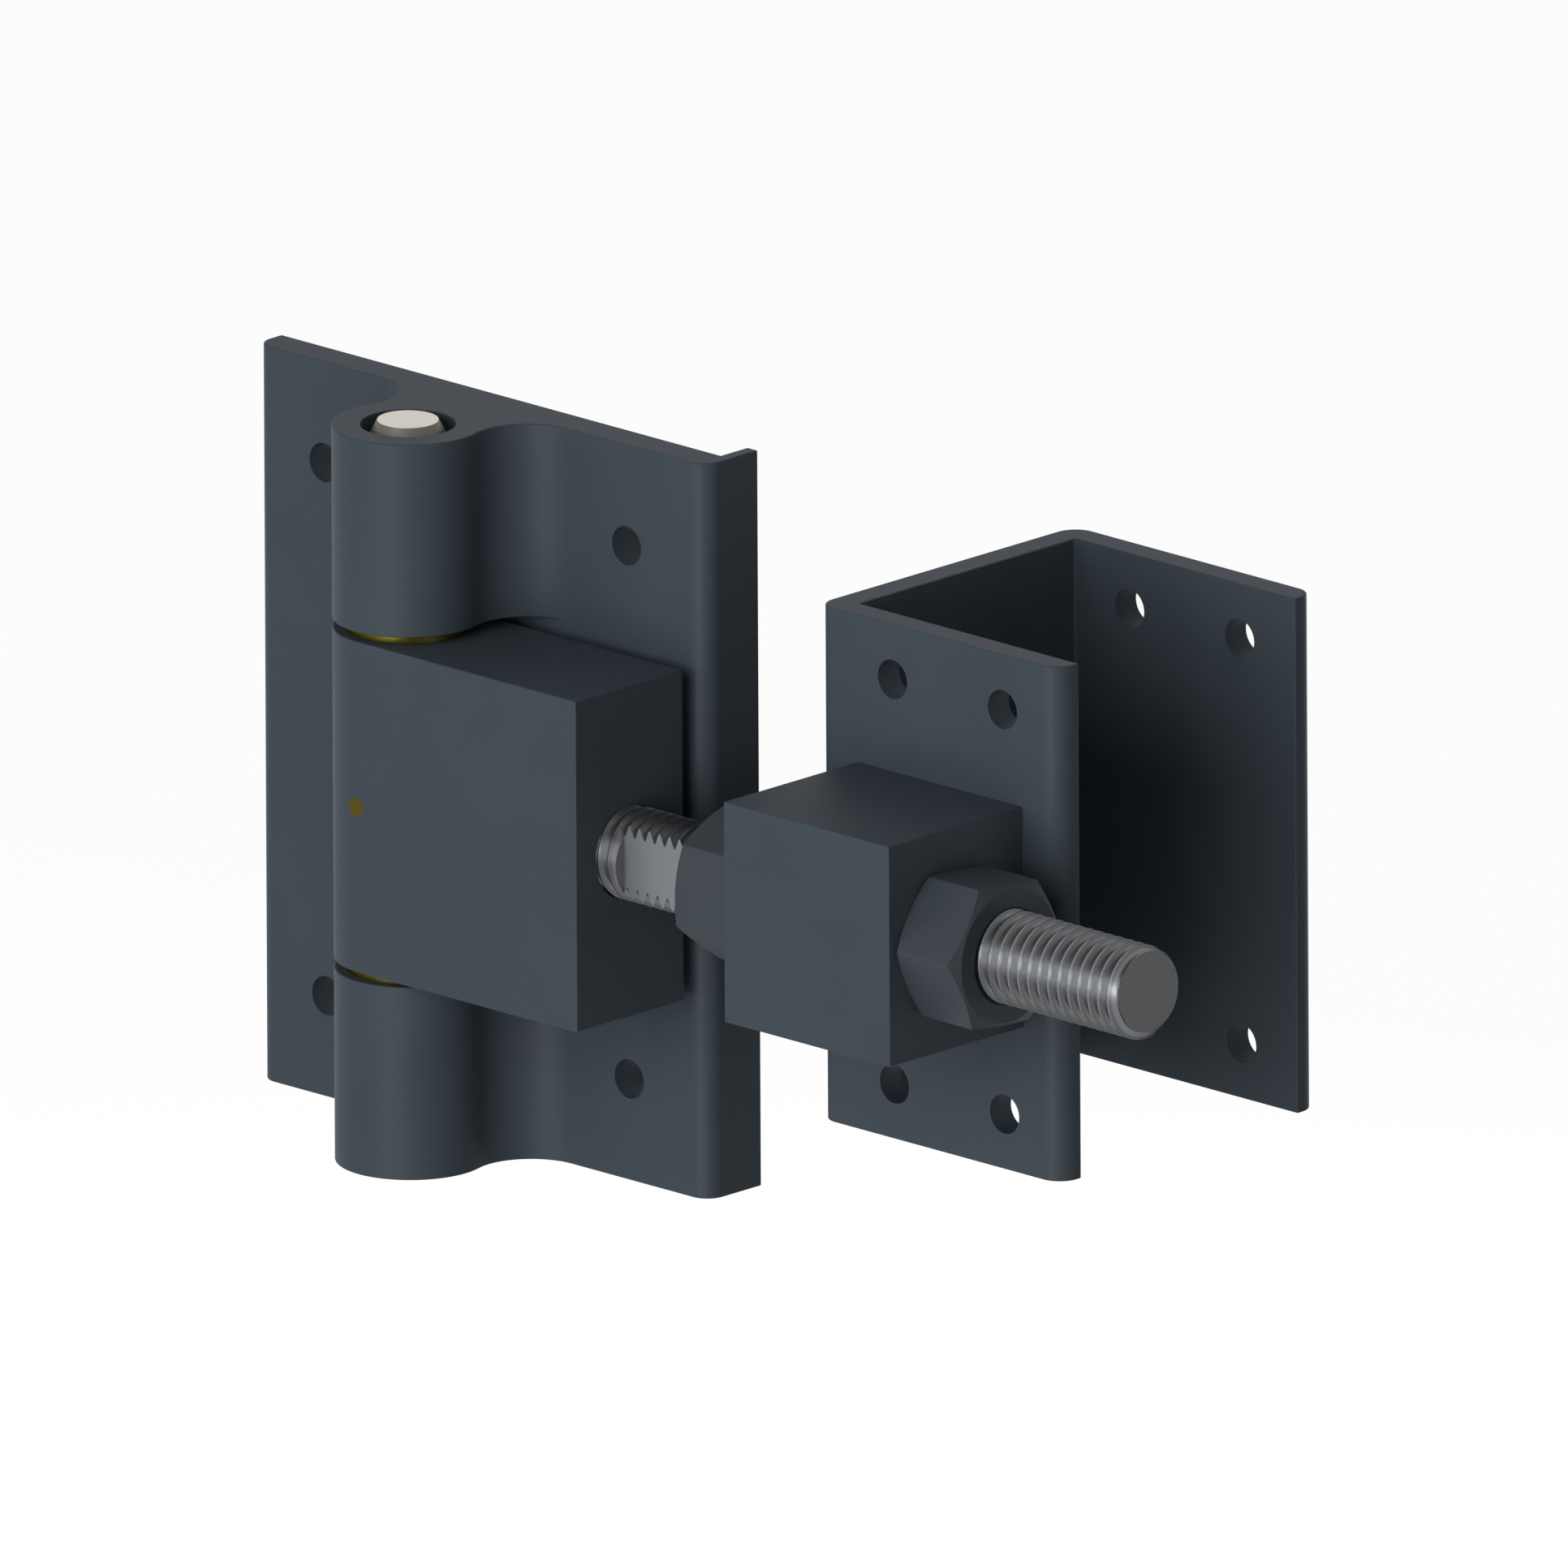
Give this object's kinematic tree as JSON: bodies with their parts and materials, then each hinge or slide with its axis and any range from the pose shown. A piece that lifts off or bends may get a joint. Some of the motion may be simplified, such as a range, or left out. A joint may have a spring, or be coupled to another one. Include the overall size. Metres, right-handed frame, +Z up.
{
  "type": "gate hinge",
  "caption": "Adjustable gate hinge: a post leaf with knuckles, a block that swings on a pin, and a threaded rod with clamping nuts that carries a channel bracket for a square gate stile.",
  "frame": {"origin": "centre of the post leaf's screw pattern, on the leaf's back face", "axes": "+X from the post towards the gate, +Y into the post, +Z up along the hinge pin; gate closed"},
  "size_m": [0.2212, 0.0929, 0.1284],
  "materials": {
    "powder_coat": "satin anthracite powder coat on extruded aluminium",
    "nut_coat": "dark satin coat on steel",
    "zinc_steel": null,
    "ground_steel": "ground and polished",
    "bronze": null,
    "brass": null,
    "black_steel": "black oxide"
  },
  "bodies": {
    "post_side": {"knuckle_leaf": "powder_coat", "upper_bush": "bronze", "lower_bush": "bronze"},
    "swing_arm": {"hinge_block": "powder_coat", "hinge_pin": "ground_steel", "cross_dowel": "brass", "adjusting_rod": "zinc_steel"},
    "gate_side": {"adjuster_block": "powder_coat", "gate_bracket": "powder_coat", "block_screw_upper": "black_steel", "block_screw_lower": "black_steel"},
    "inner_nut": {"inner_nut": "nut_coat"},
    "outer_nut": {"outer_nut": "nut_coat"}
  },
  "joints": [
    {"name": "gate_swing", "type": "hinge", "parent": "post_side", "child": "swing_arm", "pos_m": [0, -0.02223, 0], "axis": [0, 0, -1], "range_deg": [0, 180]},
    {"name": "gap_adjust", "type": "slide", "parent": "swing_arm", "child": "gate_side", "axis": [1, 0, 0], "range_m": [-0.02, 0.028]},
    {"name": "outer_nut_turn", "type": "hinge", "parent": "gate_side", "child": "outer_nut", "pos_m": [0.13155, -0.02223, 0], "axis": [1, 0, 0], "range_deg": [-3119, 4366]},
    {"name": "inner_nut_turn", "type": "hinge", "parent": "gate_side", "child": "inner_nut", "pos_m": [0.07955, -0.02223, 0], "axis": [1, 0, 0], "range_deg": [-3119, 4366]}
  ],
  "couplings": [
    {"joint": "outer_nut_turn", "follows": "gap_adjust", "rad_per_m": 2721.1},
    {"joint": "inner_nut_turn", "follows": "gap_adjust", "rad_per_m": 2721.1}
  ]
}
